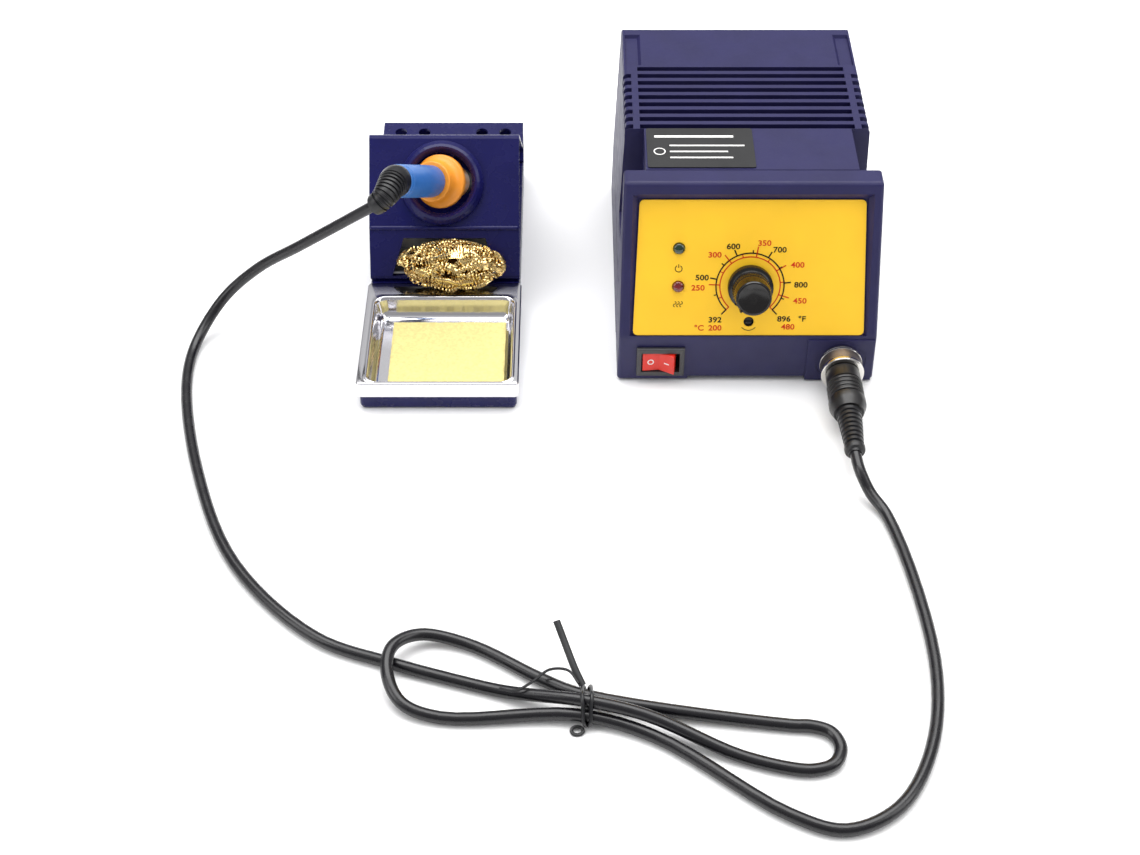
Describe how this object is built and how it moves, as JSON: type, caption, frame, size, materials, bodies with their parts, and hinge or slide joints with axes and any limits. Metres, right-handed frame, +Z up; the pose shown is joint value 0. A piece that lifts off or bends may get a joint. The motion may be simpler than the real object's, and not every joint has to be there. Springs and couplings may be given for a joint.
{
  "type": "soldering iron station",
  "caption": "Temperature-controlled soldering station: slant-front base unit, corded iron, and sheet-metal stand with a sponge tray and brass wool.",
  "frame": {"origin": "centre of the bounding box's bottom, on the table, measured without the cord and what is on it", "axes": "+X from the stand to the base unit, +Y from the control panel to the back, +Z up"},
  "size_m": [0.3201, 0.4083, 0.0931],
  "materials": {
    "navy_plastic": "fine matte texture",
    "navy_paint": "satin powder coat",
    "yellow_print": "satin printed film",
    "black_plastic": "gloss",
    "grey_plastic": "matte",
    "red_plastic": "gloss",
    "label_grey": "satin film",
    "dark_rubber": "satin",
    "steel": "plated",
    "chrome": "polished",
    "core_steel": "varnished laminations",
    "winding_tape": "tape",
    "green_board": "solder mask",
    "aluminium": "mill finish",
    "sponge_yellow": "fine cellulose sponge",
    "brass": "bright curled ribbon",
    "handle_blue": "satin",
    "orange_plastic": "satin",
    "white_ceramic": "ceramic",
    "green_lens": "clear tinted",
    "red_lens": "clear tinted",
    "tip_metal": "plated copper"
  },
  "bodies": {
    "base": {"bottom_case": "navy_plastic", "cal_trimmer": "handle_blue", "capacitor": "black_plastic", "case_screw_1": "steel", "case_screw_2": "steel", "case_screw_3": "steel", "case_screw_4": "steel", "connector_socket": "steel", "control_board": "green_board", "front_bezel": "navy_plastic", "fuse_holder": "black_plastic", "heater_led": "red_lens", "heatsink": "aluminium", "holder_ring": "navy_paint", "iec_inlet": "black_plastic", "iron_cord": "dark_rubber", "panel_overlay": "yellow_print", "plug_boot": "dark_rubber", "plug_shell": "dark_rubber", "potentiometer": "steel", "potentiometer_nut": "steel", "power_led": "green_lens", "rear_panel": "navy_plastic", "socket_nut": "steel", "stand_base": "navy_paint", "stand_foot_front": "dark_rubber", "stand_foot_rear": "dark_rubber", "stand_plate": "navy_paint", "stand_screw_left": "steel", "stand_screw_right": "steel", "station_foot_1": "dark_rubber", "station_foot_2": "dark_rubber", "station_foot_3": "dark_rubber", "station_foot_4": "dark_rubber", "switch_housing": "grey_plastic", "top_cover": "navy_plastic", "top_label": "label_grey", "transformer_bracket": "steel", "transformer_coil": "winding_tape", "transformer_core": "core_steel", "twist_tie": "dark_rubber", "wool_cup": "steel"},
    "rocker": {"power_rocker": "red_plastic"},
    "knob": {"temperature_knob": "black_plastic", "potentiometer_shaft": "steel"},
    "trimmer": {"cal_rotor": "black_plastic"},
    "fuse": {"fuse_cap": "black_plastic"},
    "plug_lock": {"plug_nut": "steel"},
    "iron": {"iron_handle": "handle_blue", "grip_collar": "orange_plastic", "barrel_nut": "tip_metal", "iron_barrel": "steel", "iron_tip": "tip_metal", "heater_core": "white_ceramic", "strain_relief": "dark_rubber"},
    "tray": {"sponge_tray": "chrome"},
    "pad": {"sponge": "sponge_yellow"},
    "wool": {"brass_wool": "brass"}
  },
  "joints": [
    {"name": "power_switch_rock", "type": "hinge", "parent": "base", "child": "rocker", "pos_m": [0.01935, -0.0685, 0.0122], "axis": [0, 0, 1], "range_deg": [0, 22]},
    {"name": "temperature_knob_turn", "type": "hinge", "parent": "base", "child": "knob", "pos_m": [0.058, -0.06182, 0.04755], "axis": [0, 0.9323, -0.3616], "range_deg": [0, 270]},
    {"name": "cal_trim_turn", "type": "hinge", "parent": "base", "child": "trimmer", "pos_m": [0.058, -0.06782, 0.03207], "axis": [0, 0.9323, -0.3616], "range_deg": [-135, 135]},
    {"name": "fuse_cap_turn", "type": "hinge", "parent": "base", "child": "fuse", "pos_m": [0.08, 0.08, 0.035], "axis": [0, -1, 0], "range_deg": [0, 60]},
    {"name": "plug_nut_spin", "type": "hinge", "parent": "base", "child": "plug_lock", "pos_m": [0.1002, -0.076, 0.0126], "axis": [0, -1, 0], "continuous": true},
    {"name": "iron_lift", "type": "slide", "parent": "base", "child": "iron", "axis": [-0.3192, -0.7715, 0.5504], "range_m": [0, 0.13], "deforming": ["iron_cord"]},
    {"name": "tray_lift", "type": "slide", "parent": "base", "child": "tray", "axis": [0, 0, 1], "range_m": [0, 0.025], "deforming": ["brass_wool"]},
    {"name": "sponge_lift", "type": "slide", "parent": "tray", "child": "pad", "axis": [0, 0, 1], "range_m": [0, 0.025]},
    {"name": "wool_pull", "type": "slide", "parent": "base", "child": "wool", "axis": [0, -0.8763, 0.4818], "range_m": [0, 0.04]}
  ]
}
